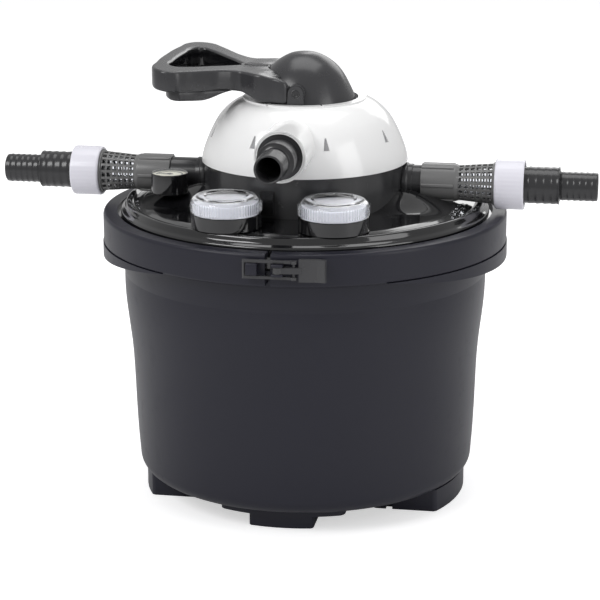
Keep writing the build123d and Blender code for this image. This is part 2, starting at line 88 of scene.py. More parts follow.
# ---- shader groups shared by the materials ----
def new_group(name, inputs, outputs):
    """Shader node group with the named sockets, and its two end nodes."""
    group = bpy.data.node_groups.new(name, "ShaderNodeTree")
    kinds = {"f": "NodeSocketFloat", "c": "NodeSocketColor"}
    for label, kind, value in inputs:
        socket = group.interface.new_socket(label, in_out="INPUT", socket_type=kinds[kind])
        socket.default_value = value
    for label, kind in outputs:
        group.interface.new_socket(label, in_out="OUTPUT", socket_type=kinds[kind])
    return group, group.nodes.new("NodeGroupInput"), group.nodes.new("NodeGroupOutput")


def add(tree, kind, **settings):
    """Node whose keyword arguments are attributes or, when one has that name, inputs."""
    node = tree.nodes.new(kind)
    for key, value in settings.items():
        if key in node.inputs:
            node.inputs[key].default_value = value
        else:
            setattr(node, key, value)
    return node


def ranged(tree, low, high, to_low, to_high):
    settings = {"From Min": low, "From Max": high, "To Min": to_low, "To Max": to_high}
    return add(tree, "ShaderNodeMapRange", **settings)


def moulded_group():
    """Fine mould grain, slow variation of colour and gloss, handling marks, and a painted highlight that
    lightens convex edges.
    """
    group, start, end = new_group(
        "moulded_surface",
        [("Colour", "c", (0.1, 0.1, 0.1, 1)), ("Roughness", "f", 0.4), ("Grain Size", "f", 900.0),
         ("Grain Depth", "f", 0.2), ("Variation", "f", 0.1), ("Wear", "f", 0.1), ("Edge Highlight", "f", 0.3)],
        [("Colour", "c"), ("Roughness", "f"), ("Height", "f")],
    )
    link = group.links.new
    coords = add(group, "ShaderNodeTexCoord")
    fine = add(group, "ShaderNodeTexNoise", Detail=2.0)
    slow = add(group, "ShaderNodeTexNoise", Scale=14.0, Detail=4.0)
    scuffs = add(group, "ShaderNodeTexNoise", Scale=60.0, Detail=6.0, Roughness=0.7)
    for noise in (fine, slow, scuffs):
        link(coords.outputs["Object"], noise.inputs["Vector"])
    link(start.outputs["Grain Size"], fine.inputs["Scale"])
    scuff_mask = ranged(group, 0.55, 0.75, 0.0, 1.0)
    link(scuffs.outputs["Fac"], scuff_mask.inputs["Value"])

    shade = ranged(group, 0.3, 0.7, 0.8, 1.2)
    link(slow.outputs["Fac"], shade.inputs["Value"])
    grey = add(group, "ShaderNodeCombineColor")
    for channel in ("Red", "Green", "Blue"):
        link(shade.outputs["Result"], grey.inputs[channel])
    varied = add(group, "ShaderNodeMix", data_type="RGBA", blend_type="MULTIPLY")
    link(start.outputs["Variation"], varied.inputs["Factor"])
    link(start.outputs["Colour"], varied.inputs["A"])
    link(grey.outputs["Color"], varied.inputs["B"])

    # Painted highlight: grey is added to the colour on convex edges, found by pointiness.
    geometry = add(group, "ShaderNodeNewGeometry")
    convex = ranged(group, 0.54, 0.66, 0.0, 1.0)
    link(geometry.outputs["Pointiness"], convex.inputs["Value"])
    edge_highlight = add(group, "ShaderNodeMath", operation="MULTIPLY")
    link(convex.outputs["Result"], edge_highlight.inputs[0])
    link(start.outputs["Edge Highlight"], edge_highlight.inputs[1])
    highlighted = add(group, "ShaderNodeMix", data_type="RGBA", blend_type="ADD")
    highlighted.inputs["B"].default_value = (0.12, 0.12, 0.12, 1)
    link(edge_highlight.outputs[0], highlighted.inputs["Factor"])
    link(varied.outputs["Result"], highlighted.inputs["A"])
    link(highlighted.outputs["Result"], end.inputs["Colour"])

    worn = add(group, "ShaderNodeMath", operation="MULTIPLY")
    link(scuff_mask.outputs["Result"], worn.inputs[0])
    link(start.outputs["Wear"], worn.inputs[1])
    rough = add(group, "ShaderNodeMath", operation="ADD", use_clamp=True)
    link(start.outputs["Roughness"], rough.inputs[0])
    link(worn.outputs[0], rough.inputs[1])
    link(rough.outputs[0], end.inputs["Roughness"])

    height = add(group, "ShaderNodeMath", operation="MULTIPLY")
    link(fine.outputs["Fac"], height.inputs[0])
    link(start.outputs["Grain Depth"], height.inputs[1])
    link(height.outputs[0], end.inputs["Height"])
    return group


MOULDED = moulded_group()


def moulded(name, colour, roughness, grain=900.0, depth=0.2, variation=0.12, wear=0.08, coat=0.0, edge_highlight=0.3):
    """Injection-moulded plastic."""
    material = bpy.data.materials.new(name)
    material.use_nodes = True
    tree = material.node_tree
    shader = tree.nodes["Principled BSDF"]
    surface = add(tree, "ShaderNodeGroup", node_tree=MOULDED)
    # Edge Highlight sets how much painted highlight lightens the convex edges.
    values = {"Colour": (*colour, 1), "Roughness": roughness, "Grain Size": grain, "Grain Depth": depth,
              "Variation": variation, "Wear": wear, "Edge Highlight": edge_highlight}
    for label, value in values.items():
        surface.inputs[label].default_value = value
    bump = add(tree, "ShaderNodeBump", Strength=0.35, Distance=0.0002)
    tree.links.new(surface.outputs["Colour"], shader.inputs["Base Color"])
    tree.links.new(surface.outputs["Roughness"], shader.inputs["Roughness"])
    tree.links.new(surface.outputs["Height"], bump.inputs["Height"])
    tree.links.new(bump.outputs["Normal"], shader.inputs["Normal"])
    shader.inputs["Coat Weight"].default_value = coat
    shader.inputs["Coat Roughness"].default_value = 0.06
    return material


def clear(name, colour, roughness, ior):
    """Clear moulded plastic or glass, with a slightly uneven polish."""
    material = bpy.data.materials.new(name)
    material.use_nodes = True
    tree = material.node_tree
    shader = tree.nodes["Principled BSDF"]
    shader.inputs["Base Color"].default_value = (*colour, 1)
    shader.inputs["Transmission Weight"].default_value = 1.0
    shader.inputs["IOR"].default_value = ior
    coords = add(tree, "ShaderNodeTexCoord")
    waves = add(tree, "ShaderNodeTexNoise", Scale=90.0, Detail=2.0)
    tree.links.new(coords.outputs["Object"], waves.inputs["Vector"])
    spread = ranged(tree, 0.0, 1.0, roughness * 0.6, roughness * 1.4)
    tree.links.new(waves.outputs["Fac"], spread.inputs["Value"])
    tree.links.new(spread.outputs["Result"], shader.inputs["Roughness"])
    return material


def thin_pane(name, colour, cover):
    """Thin clear window that lets light straight through and still glints."""
    material = moulded(name, colour, 0.06, depth=0.0, variation=0.0, wear=0.02, edge_highlight=0.0)
    material.node_tree.nodes["Principled BSDF"].inputs["Alpha"].default_value = cover
    return material


def metal(name, colour, roughness):
    material = moulded(name, colour, roughness, grain=2400.0, depth=0.1, edge_highlight=0.0)
    material.node_tree.nodes["Principled BSDF"].inputs["Metallic"].default_value = 1.0
    return material


MATERIALS = {
    "anthracite_plastic": moulded("anthracite_plastic", (0.036, 0.036, 0.039), 0.25, depth=0.3, edge_highlight=0.1),
    "black_gloss": moulded("black_gloss", (0.007, 0.007, 0.008), 0.09, depth=0.03, wear=0.04, coat=0.6,
                           edge_highlight=0.1),
    "dark_plastic": moulded("dark_plastic", (0.028, 0.028, 0.030), 0.22, depth=0.15, edge_highlight=0.1),
    "white_plastic": moulded("white_plastic", (0.90, 0.90, 0.90), 0.16, depth=0.05, variation=0.03, coat=0.3,
                             edge_highlight=0.0),
    "lilac_plastic": moulded("lilac_plastic", (0.76, 0.75, 0.82), 0.25, depth=0.15, variation=0.05, edge_highlight=0.1),
    "grey_plastic": moulded("grey_plastic", (0.15, 0.15, 0.15), 0.3, depth=0.2, edge_highlight=0.15),
    "clear_plastic": clear("clear_plastic", (0.97, 0.98, 1.0), 0.05, 1.45),
    "quartz_glass": clear("quartz_glass", (0.98, 0.99, 1.0), 0.02, 1.46),
    "lamp_glass": moulded("lamp_glass", (0.8, 0.82, 0.88), 0.2, edge_highlight=0.0),
    "rubber": moulded("rubber", (0.015, 0.015, 0.015), 0.75),
    "foam_coarse": moulded("foam_coarse", (0.03, 0.07, 0.2), 0.95, grain=300.0, depth=3.0),
    "foam_fine": moulded("foam_fine", (0.02, 0.02, 0.02), 0.95, grain=500.0, depth=3.0),
    "steel": metal("steel", (0.6, 0.6, 0.61), 0.3),
    "dial_face": moulded("dial_face", (0.86, 0.84, 0.70), 0.35, depth=0.05, variation=0.04, edge_highlight=0.0),
    "needle_black": moulded("needle_black", (0.01, 0.01, 0.01), 0.3),
    "ballast_case": moulded("ballast_case", (0.45, 0.45, 0.43), 0.5),
}
TANK = moulded("tank_plastic", (0.016, 0.016, 0.025), 0.36, depth=0.3, edge_highlight=0.05)
TANK.node_tree.nodes["Principled BSDF"].inputs["Specular IOR Level"].default_value = 0.3
# Grey for the painted shade in the dome's sunk marks.
NOTCH_PAINTED_SHADE = moulded("notch_shade", (0.30, 0.30, 0.31), 0.5, edge_highlight=0.0)
RED_MARK = moulded("red_mark", (0.55, 0.02, 0.02), 0.4, edge_highlight=0.0)
PANE = thin_pane("gauge_pane", (0.9, 0.92, 0.95), 0.12)
REFLECTOR = moulded("reflector_white", (0.93, 0.93, 0.98), 0.25, depth=0.05, variation=0.05, edge_highlight=0.0)

for part in frame["record"]["subparts"]:
    material = MATERIALS[part["material_slot"]]
    if part["node"].startswith("lamp_socket"):
        material = MATERIALS["black_gloss"]
    if part["node"] == "tank":
        material = TANK
    for slot in frame["nodes"][part["node"]].material_slots:
        slot.material = material


# ---- mesh helpers ----
def rounded(corners, steps=4):
    """Closed outline from (radius, height, corner rounding) triples."""
    outline = []
    count = len(corners)
    for i, (r, z, bend) in enumerate(corners):
        here = Vector((r, z))
        if bend == 0:
            outline.append((r, z))
            continue
        before, after = Vector(corners[i - 1][:2]) - here, Vector(corners[(i + 1) % count][:2]) - here
        first = here + before.normalized() * min(bend, before.length / 2)
        last = here + after.normalized() * min(bend, after.length / 2)
        for step in range(steps + 1):
            t = step / steps
            point = first * (1 - t) ** 2 + here * 2 * t * (1 - t) + last * t * t
            outline.append((point.x, point.y))
    return outline


def finish_mesh(name, bm, material, sharp=38.0):
    """Welds, points the faces outwards, shades and makes the object, with its place in its mesh."""
    bmesh.ops.remove_doubles(bm, verts=bm.verts, dist=2e-6)
    bmesh.ops.recalc_face_normals(bm, faces=bm.faces)
    mesh = bpy.data.meshes.new(name)
    bm.to_mesh(mesh)
    bm.free()
    mesh.shade_smooth()
    mesh.set_sharp_from_angle(angle=math.radians(sharp))
    mesh.materials.append(material)
    obj = bpy.data.objects.new(name, mesh)
    bpy.context.collection.objects.link(obj)
    return obj


def turned(name, outline, material, lay=UPRIGHT, centre=(0, 0), around=120, arc=(0, 360), flutes=(0, 0),
           sharp=38.0):
    """Closed outline of (radius, height) turned about Z, then laid along its axis.

    flutes is how many shallow flutes run round it, and how deep they are."""
    bm = bmesh.new()
    full = arc[1] - arc[0] == 360
    steps = around if full else around + 1
    columns = []
    for k in range(steps):
        angle = math.radians(arc[0] + (arc[1] - arc[0]) * k / around)
        dip = flutes[1] * (0.5 - 0.5 * math.cos(flutes[0] * angle))
        column = []
        for r, z in outline:
            reach = max(r - dip, 0)
            place = Vector((centre[0] + reach * math.cos(angle), centre[1] + reach * math.sin(angle), z))
            column.append(bm.verts.new((lay @ place) * MM))
        columns.append(column)
    size = len(outline)
    for k in range(around):
        here, there = columns[k], columns[(k + 1) % steps]
        for i in range(size):
            j = (i + 1) % size
            if outline[i][0] == 0 and outline[j][0] == 0:
                continue
            bm.faces.new((here[i], here[j], there[j], there[i]))
    if not full:
        bm.faces.new(columns[0])
        bm.faces.new(columns[-1])
    return finish_mesh(name, bm, material, sharp)


def stand_for(obj, body, slot, *nodes):
    """Carries the object on a body and hides the nodes it is drawn in place of; the slot it is given is not
    used.
    """
    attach(obj, body)
    if nodes:
        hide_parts(*nodes)
    return obj


def joined(name, objects):
    """One object from several that share a body."""
    bm = bmesh.new()
    materials = []
    for obj in objects:
        own = list(obj.data.materials)
        materials += [material for material in own if material not in materials]
        first = len(bm.faces)
        bm.from_mesh(obj.data)
        bm.faces.ensure_lookup_table()
        for face in bm.faces[first:]:
            face.material_index = materials.index(own[face.material_index])
        bpy.data.objects.remove(obj)
    mesh = bpy.data.meshes.new(name)
    bm.to_mesh(mesh)
    bm.free()
    for material in materials:
        mesh.materials.append(material)
    result = bpy.data.objects.new(name, mesh)
    bpy.context.collection.objects.link(result)
    return result


def soft_box(name, limits, lay, material, round_r=0.6):
    """Rounded block between pairs of limits in millimetres, before lay."""
    bm = bmesh.new()
    bmesh.ops.create_cube(bm, size=1)
    size = [high - low for low, high in limits]
    for vert in bm.verts:
        vert.co = Vector([(limits[i][0] + limits[i][1]) / 2 + vert.co[i] * size[i] for i in range(3)])
    bmesh.ops.bevel(bm, geom=bm.edges[:], offset=round_r, segments=3, profile=0.5, affect="EDGES")
    bmesh.ops.transform(bm, matrix=Matrix.Scale(MM, 4) @ lay, verts=bm.verts)
    return finish_mesh(name, bm, material, 50.0)


# ---- geometry nodes ----
def new_tree(name, inputs):
    """Geometry node tree with the named inputs and one geometry output, and its two end nodes."""
    tree = bpy.data.node_groups.new(name, "GeometryNodeTree")
    kinds = {"f": "NodeSocketFloat", "i": "NodeSocketInt", "m": "NodeSocketMaterial"}
    for label, kind in inputs:
        tree.interface.new_socket(label, in_out="INPUT", socket_type=kinds[kind])
    tree.interface.new_socket("Geometry", in_out="OUTPUT", socket_type="NodeSocketGeometry")
    return tree, tree.nodes.new("NodeGroupInput"), tree.nodes.new("NodeGroupOutput")


def grown(name, tree, values, lay=UPRIGHT, sharp=38.0):
    """Plain mesh made by a geometry node tree from the values of its named inputs."""
    holder = bpy.data.objects.new(name + "_maker", bpy.data.meshes.new(name + "_base"))
    bpy.context.collection.objects.link(holder)
    modifier = holder.modifiers.new("maker", "NODES")
    modifier.node_group = tree
    for item in tree.interface.items_tree:
        if item.in_out == "INPUT" and item.name in values:
            modifier[item.identifier] = values[item.name]
    bpy.context.view_layer.update()
    mesh = bpy.data.meshes.new_from_object(holder.evaluated_get(bpy.context.evaluated_depsgraph_get()))
    bpy.data.objects.remove(holder)
    bm = bmesh.new()
    bm.from_mesh(mesh)
    bmesh.ops.transform(bm, matrix=Matrix.Scale(MM, 4) @ lay, verts=bm.verts)
    for face in bm.faces:
        face.material_index = 0
    return finish_mesh(name, bm, values["Material"], sharp)


def math_node(tree, operation, first, second=None):
    node = add(tree, "ShaderNodeMath", operation=operation)
    for index, value in enumerate((first, second)):
        if value is None:
            continue
        if isinstance(value, (int, float)):
            node.inputs[index].default_value = value
        else:
            tree.links.new(value, node.inputs[index])
    return node.outputs[0]


def cage_tree():
    """Perforated cone: a sheet of frames, one round each square hole, rolled up along Z."""
    tree, start, end = new_tree("perforated_cone", [
        ("Length", "f"), ("Start Radius", "f"), ("End Radius", "f"), ("Columns", "i"), ("Rows", "i"),
        ("Hole Share", "f"), ("Wall", "f"), ("Material", "m")])
    link = tree.links.new
    grid = add(tree, "GeometryNodeMeshGrid")
    link(math_node(tree, "ADD", start.outputs["Columns"], 1), grid.inputs["Vertices X"])
    link(math_node(tree, "ADD", start.outputs["Rows"], 1), grid.inputs["Vertices Y"])
    for label in ("Size X", "Size Y"):
        grid.inputs[label].default_value = 1.0
    frames = add(tree, "GeometryNodeExtrudeMesh", mode="FACES")
    frames.inputs["Offset Scale"].default_value = 0.0
    frames.inputs["Individual"].default_value = True
    link(grid.outputs["Mesh"], frames.inputs["Mesh"])
    shrink = add(tree, "GeometryNodeScaleElements")
    link(frames.outputs["Mesh"], shrink.inputs["Geometry"])
    link(frames.outputs["Top"], shrink.inputs["Selection"])
    link(start.outputs["Hole Share"], shrink.inputs["Scale"])
    pierce = add(tree, "GeometryNodeDeleteGeometry", domain="FACE")
    link(shrink.outputs["Geometry"], pierce.inputs["Geometry"])
    link(frames.outputs["Top"], pierce.inputs["Selection"])
    split = add(tree, "ShaderNodeSeparateXYZ")
    link(add(tree, "GeometryNodeInputPosition").outputs[0], split.inputs[0])
    angle = math_node(tree, "MULTIPLY", split.outputs["X"], 2 * math.pi)
    along = math_node(tree, "ADD", split.outputs["Y"], 0.5)
    growth = math_node(tree, "SUBTRACT", start.outputs["End Radius"], start.outputs["Start Radius"])
    grown_by = math_node(tree, "MULTIPLY", growth, along)
    radius = math_node(tree, "ADD", start.outputs["Start Radius"], grown_by)
    roll = add(tree, "ShaderNodeCombineXYZ")
    link(math_node(tree, "MULTIPLY", radius, math_node(tree, "COSINE", angle)), roll.inputs["X"])
    link(math_node(tree, "MULTIPLY", radius, math_node(tree, "SINE", angle)), roll.inputs["Y"])
    link(math_node(tree, "MULTIPLY", along, start.outputs["Length"]), roll.inputs["Z"])
    place = add(tree, "GeometryNodeSetPosition")
    link(pierce.outputs["Geometry"], place.inputs["Geometry"])
    link(roll.outputs[0], place.inputs["Position"])
    weld = add(tree, "GeometryNodeMergeByDistance", Distance=0.01)
    link(place.outputs["Geometry"], weld.inputs["Geometry"])
    thick = add(tree, "GeometryNodeExtrudeMesh", mode="FACES")
    thick.inputs["Individual"].default_value = False
    link(weld.outputs["Geometry"], thick.inputs["Mesh"])
    link(start.outputs["Wall"], thick.inputs["Offset Scale"])
    inner = add(tree, "GeometryNodeFlipFaces")
    link(weld.outputs["Geometry"], inner.inputs["Mesh"])
    both = add(tree, "GeometryNodeJoinGeometry")
    link(thick.outputs["Mesh"], both.inputs[0])
    link(inner.outputs["Mesh"], both.inputs[0])
    close = add(tree, "GeometryNodeMergeByDistance", Distance=0.01)
    link(both.outputs["Geometry"], close.inputs["Geometry"])
    real = add(tree, "GeometryNodeRealizeInstances")
    link(close.outputs["Geometry"], real.inputs["Geometry"])
    paint = add(tree, "GeometryNodeSetMaterial")
    link(real.outputs["Geometry"], paint.inputs["Geometry"])
    link(start.outputs["Material"], paint.inputs["Material"])
    link(paint.outputs["Geometry"], end.inputs["Geometry"])
    return tree


def ring_of_bars_tree():
    """Bars that stand in a ring, each along Z, for ribs, teeth and grip lines."""
    tree, start, end = new_tree("ring_of_bars", [
        ("Radius", "f"), ("Count", "i"), ("Width", "f"), ("Depth", "f"), ("Length", "f"),
        ("Rise", "f"), ("Turn", "f"), ("Material", "m")])
    link = tree.links.new
    circle = add(tree, "GeometryNodeMeshCircle")
    link(start.outputs["Count"], circle.inputs["Vertices"])
    link(start.outputs["Radius"], circle.inputs["Radius"])
    size = add(tree, "ShaderNodeCombineXYZ")
    for label, axis in (("Depth", "X"), ("Width", "Y"), ("Length", "Z")):
        link(start.outputs[label], size.inputs[axis])
    bar = add(tree, "GeometryNodeMeshCube")
    link(size.outputs[0], bar.inputs["Size"])
    index = add(tree, "GeometryNodeInputIndex")
    share = math_node(tree, "DIVIDE", index.outputs[0], start.outputs["Count"])
    turn = add(tree, "ShaderNodeCombineXYZ")
    link(math_node(tree, "MULTIPLY", share, 2 * math.pi), turn.inputs["Z"])
    copies = add(tree, "GeometryNodeInstanceOnPoints")
    link(circle.outputs["Mesh"], copies.inputs["Points"])
    link(bar.outputs["Mesh"], copies.inputs["Instance"])
    link(turn.outputs[0], copies.inputs["Rotation"])
    real = add(tree, "GeometryNodeRealizeInstances")
    link(copies.outputs["Instances"], real.inputs["Geometry"])
    lift = add(tree, "ShaderNodeCombineXYZ")
    link(start.outputs["Rise"], lift.inputs["Z"])
    spin = add(tree, "ShaderNodeCombineXYZ")
    link(start.outputs["Turn"], spin.inputs["Z"])
    place = add(tree, "GeometryNodeTransform")
    link(real.outputs["Geometry"], place.inputs["Geometry"])
    link(lift.outputs[0], place.inputs["Translation"])
    link(spin.outputs[0], place.inputs["Rotation"])
    paint = add(tree, "GeometryNodeSetMaterial")
    link(place.outputs["Geometry"], paint.inputs["Geometry"])
    link(start.outputs["Material"], paint.inputs["Material"])
    link(paint.outputs["Geometry"], end.inputs["Geometry"])
    return tree


CAGE = cage_tree()
BARS = ring_of_bars_tree()


def bars(name, radius, count, width, depth, length, rise, material, lay=UPRIGHT, turn=0.0, soften=0.0):
    values = {"Radius": radius, "Count": count, "Width": width, "Depth": depth, "Length": length,
              "Rise": rise, "Turn": math.radians(turn), "Material": material}
    obj = grown(name, BARS, values, lay)
    if soften:
        bm = bmesh.new()
        bm.from_mesh(obj.data)
        bmesh.ops.bevel(bm, geom=bm.edges[:], offset=soften * MM, segments=2, profile=0.5, affect="EDGES")
        bm.to_mesh(obj.data)
        bm.free()
        obj.data.shade_smooth()
        obj.data.set_sharp_from_angle(angle=math.radians(50))
    return obj


# ---- clamp ring and tank ----
def clamp_ring():
    """Band with softened rims, open at the latch, and the latch's lugs."""
    plastic = TANK
    outline = rounded([
        (176.5, ring_top, 0.6), (ring_r - 1.2, ring_top, 1.2), (ring_r, ring_top - 2.2, 1.4),
        (ring_r, ring_low + 1.2, 0.8), (ring_r - 0.6, ring_low, 0.5),
        (176, ring_low, 0.5), (176, ring_low + 6, 0), (185, ring_low + 6, 0), (185, ring_top - 4, 0),
        (176.5, ring_top - 4, 0),
    ])
    cut = math.degrees(2.5 / ring_r)
    band = turned("clamp_band", outline, plastic, around=240, arc=(-90 + cut, 270 - cut))
    latch_x, latch_z = middle("latch_pin", X), middle("latch_pin", Z)
    lug_half = 5.4
    lug_limits = [(-18, -8), (-199, -187), (latch_z - lug_half, latch_z + lug_half)]
    lug = soft_box("anchor_lug", lug_limits, UPRIGHT, plastic, 1.0)
    ears = []
    pin_low, pin_high = span("latch_pin", Z)
    for low in (pin_low, pin_high - 2.4):
        ears.append(soft_box("ear", [(latch_x - 5, latch_x + 5), (-201.5, -187), (low, low + 2.4)], UPRIGHT,
                             plastic, 0.7))
    stand_for(joined("clamp_ring_visual", [band, lug, *ears]), "filter", "anthracite_plastic", "clamp_ring")


# ---- lid with its fairings ----
def smooth(t):
    t = min(max(t, 0.0), 1.0)
    return t * t * (3 - 2 * t)


def fairing_rise(x, y):
    """Height of the two fairings above the deck, with a trough for the pipe between."""
    away = abs(x)
    side = 1 - smooth((abs(y) - 14) / 52)
    fall = 1 - smooth((away - 90) / 68)
    rise = 15.5 * side * fall
    pipe = 20.6 if away > min(inlet_x, outlet_x) - 2 else 17.0
    if abs(y) < pipe:
        rise = min(rise, pipe_z - math.sqrt(pipe * pipe - y * y) - deck_z)
    return max(rise, 0.0)


def lid():
    """Glossy dished lid: rim, gutter, deck and the fairings that fall from the head."""
    rim = rounded([
        (173.4, ring_top - 4, 0), (173.4, ring_top + 1.5, 1.5), (169.5, ring_top + 4, 1.5),
        (167.5, deck_z + 0.8, 2.0), (163, deck_z + 0.6, 1.2), (160.5, deck_z - 2.2, 1.6), (152, deck_z, 2.0),
    ], 5)[:-1]
    radii = [150 - 2.0 * i for i in range(35)]
    count = 540
    bm = bmesh.new()
    columns = []
    for k in range(count):
        angle = 2 * math.pi * k / count
        c, s = math.cos(angle), math.sin(angle)
        column = [bm.verts.new((184 * c * MM, 184 * s * MM, (ring_top - 14) * MM)),
                  bm.verts.new((184 * c * MM, 184 * s * MM, (ring_top - 4) * MM))]
        for r, z in rim:
            column.append(bm.verts.new((r * c * MM, r * s * MM, z * MM)))
        for r in radii:
            z = deck_z + fairing_rise(r * c, r * s)
            column.append(bm.verts.new((r * c * MM, r * s * MM, z * MM)))
        for r, z in ((82, deck_z - 4), (150, deck_z - 4), (165, ring_top), (169, ring_top - 14)):
            column.append(bm.verts.new((r * c * MM, r * s * MM, z * MM)))
        columns.append(column)
    size = len(columns[0])
    for k in range(count):
        here, there = columns[k], columns[(k + 1) % count]
        for i in range(size):
            j = (i + 1) % size
            bm.faces.new((here[i], here[j], there[j], there[i]))
    obj = finish_mesh("lid_visual", bm, MATERIALS["black_gloss"], 45.0)
    stand_for(obj, "filter", "black_gloss", "lid")


# ---- lever ----
cap_profile = [(374, 47.8), (387.5, 42.4), (400, 35.4), (409, 27), (415.3, 17)]


def cap_radius(z):
    """Radius of the turret cap at a height."""
    for (z0, r0), (z1, r1) in zip(cap_profile, cap_profile[1:]):
        if z <= z1:
            return r0 + (r1 - r0) * (z - z0) / (z1 - z0)
    return 10.0


def mirrored(points):
    """Closed outline from its +Y half, listed from one end to the other."""
    return points + [(x, -y) for x, y in reversed(points) if y > 0.01]


def flat_shape(name, loops, round_r, height):
    """Flat filled shape with holes, rounded on every edge, as a mesh in millimetres."""
    curve = bpy.data.curves.new(name, "CURVE")
    curve.dimensions = "2D"
    curve.fill_mode = "BOTH"
    curve.extrude = height / 2 - round_r
    curve.bevel_depth = round_r
    curve.bevel_resolution = 3
    curve.offset = -round_r
    curve.resolution_u = 8
    for points, kind in loops:
        spline = curve.splines.new("BEZIER")
        spline.bezier_points.add(len(points) - 1)
        spline.use_cyclic_u = True
        for knot, (x, y) in zip(spline.bezier_points, points):
            knot.co = (x, y, 0)
            knot.handle_left_type = knot.handle_right_type = kind
    holder = bpy.data.objects.new(name, curve)
    bpy.context.collection.objects.link(holder)
    bpy.context.view_layer.update()
    mesh = bpy.data.meshes.new_from_object(holder.evaluated_get(bpy.context.evaluated_depsgraph_get()))
    bpy.data.objects.remove(holder)
    bm = bmesh.new()
    bm.from_mesh(mesh)
    bmesh.ops.remove_doubles(bm, verts=bm.verts, dist=0.01)
    return bm


def sliced(bm, places):
    for x in places:
        geometry = bm.verts[:] + bm.edges[:] + bm.faces[:]
        bmesh.ops.bisect_plane(bm, geom=geometry, dist=0.001, plane_co=(x, 0, 0), plane_no=(1, 0, 0))


def between(x, table):
    """Smooth value at x from a table of (x, value) that falls in x."""
    for (x0, v0), (x1, v1) in zip(table, table[1:]):
        if x >= x1:
            return v0 + (v1 - v0) * smooth((x0 - x) / (x0 - x1)) if x < x0 else v0
    return table[-1][1]


lever_opening = mirrored([
    (-59, 0), (-65, 11), (-82, 31), (-100, 51), (-110, 57), (-116.5, 50), (-118.5, 26),
])
lever_height = 19.0


def lever_top(x):
    if x < -52:
        return 405 + 0.11 * (-52 - x)
    return between(x, [(0, 394.5), (-20, 401.0), (-36, 404.2), (-52, 405.0)])


def lever_bottom(x):
    if x < -56:
        return lever_top(x) - lever_height
    return between(x, [(0, 378.2), (-30, 378.6), (-56, 386.4)])


def lever():
    """Hand lever: open loop, neck with grooves, and two arms round the turret cap."""
    arc = []
    for step in range(12):
        angle = math.radians(78 * step / 11)
        arc.append((-44.8 * math.cos(angle), 44.8 * math.sin(angle)))
    outer = [
        (-8.4, 49.9), (-22, 49.9), (-36, 49.4), (-47, 43), (-56, 39.5), (-68, 46.5), (-80, 60),
        (-93, 76), (-106, 88), (-119, 86), (-127.5, 73), (-130.5, 45), (-132, 20),
    ]
    bm = flat_shape("lever_shape", [
        (close_lever(outer, arc), "AUTO"), (lever_opening, "AUTO"),
        ([(-46, 2.2), (-57, 2.2), (-57, -2.2), (-46, -2.2)], "VECTOR"),
        ([(-37, 9.4), (-58, 9.4), (-58, 8.2), (-37, 8.2)], "VECTOR"),
        ([(-37, -8.2), (-58, -8.2), (-58, -9.4), (-37, -9.4)], "VECTOR"),
    ], 2.3, lever_height)
    sliced(bm, [-12 - 4 * i for i in range(30)])
    half = lever_height / 2
    for vert in bm.verts:
        x, y, z = vert.co
        share = (z + half) / lever_height
        height = lever_bottom(x) + (lever_top(x) - lever_bottom(x)) * share
        reach = math.hypot(x, y)
        if reach < 47.5 and abs(y) < 47:
            wanted = cap_radius(height) + 1.2 + max(reach - 44.8, 0)
            if abs(y) > 40:
                wanted = max(wanted, reach)
            x, y = x * wanted / reach, y * wanted / reach
        vert.co = (x * MM, y * MM, height * MM)
    body = finish_mesh("lever_body", bm, MATERIALS["anthracite_plastic"], 42.0)
    # Painted shade: the walls of the loop's opening take the black gloss, darker than the lever, to stand
    # for the shade inside it.
    body.data.materials.append(MATERIALS["black_gloss"])
    for face in body.data.polygons:
        inside = off_outline(face.center.x / MM, face.center.y / MM, lever_opening) < 5
        face.material_index = 1 if inside and abs(face.normal.z) < 0.6 else 0
    return body


def off_outline(x, y, outline):
    """Distance from a point to the nearest side of a closed outline."""
    nearest = 1000.0
    for i, (ax, ay) in enumerate(outline):
        bx, by = outline[i - 1]
        run, rise = bx - ax, by - ay
        t = ((x - ax) * run + (y - ay) * rise) / (run * run + rise * rise)
        t = min(max(t, 0.0), 1.0)
        nearest = min(nearest, math.hypot(x - ax - t * run, y - ay - t * rise))
    return nearest


def close_lever(outer, arc):
    """Outline of loop, arms and the hollow round the cap, in order."""
    far = outer + [(-132, 0)] + [(x, -y) for x, y in reversed(outer)]
    hollow = [(x, -y) for x, y in reversed(arc)] + arc[1:]
    return far + hollow


def lever_and_grip():
    body = lever()
    lugs = []
    for sign in (-1, 1):
        outline = rounded([(4.0, 43.0, 0), (8.1, 43.0, 0.5), (8.1, 46.6, 0.5), (4.0, 46.6, 0)])
        lay = Matrix.Translation((0, 0, hinge_z)) @ Matrix.Rotation(-sign * math.pi / 2, 4, "X")
        lugs.append(turned("lug", outline, MATERIALS["anthracite_plastic"], lay, around=48))
        limits = [(-14, -7), sorted((sign * 43.0, sign * 46.6)), (hinge_z - 6, hinge_z + 6)]
        lugs.append(soft_box("web", limits, UPRIGHT, MATERIALS["anthracite_plastic"], 0.4))
    stand_for(joined("handle_lever_visual", [body, *lugs]), "lever", "anthracite_plastic", "handle_lever")

    outer = mirrored([
        (-62, 0.02), (-62, 41), (-80, 57), (-96, 73), (-106, 79), (-114, 72), (-119, 40), (-120, 0.02),
    ])
    bm = flat_shape("grip_shape", [(outer, "AUTO"), (lever_opening, "AUTO")], 2.0, 10.0)
    sliced(bm, [-64 - 4 * i for i in range(14)])
    for vert in bm.verts:
        x, y, z = vert.co
        share = (z + 5) / 10
        top = lever_top(x) - lever_height + 0.6
        low = lever_top(x) - lever_height - 9 * smooth((-60 - x) / 26)
        vert.co = (x * MM, y * MM, (min(low, top - 0.4) * (1 - share) + top * share) * MM)
    grip = finish_mesh("grip_insert_visual", bm, MATERIALS["anthracite_plastic"], 42.0)
    stand_for(grip, "lever", "anthracite_plastic", "grip_insert")


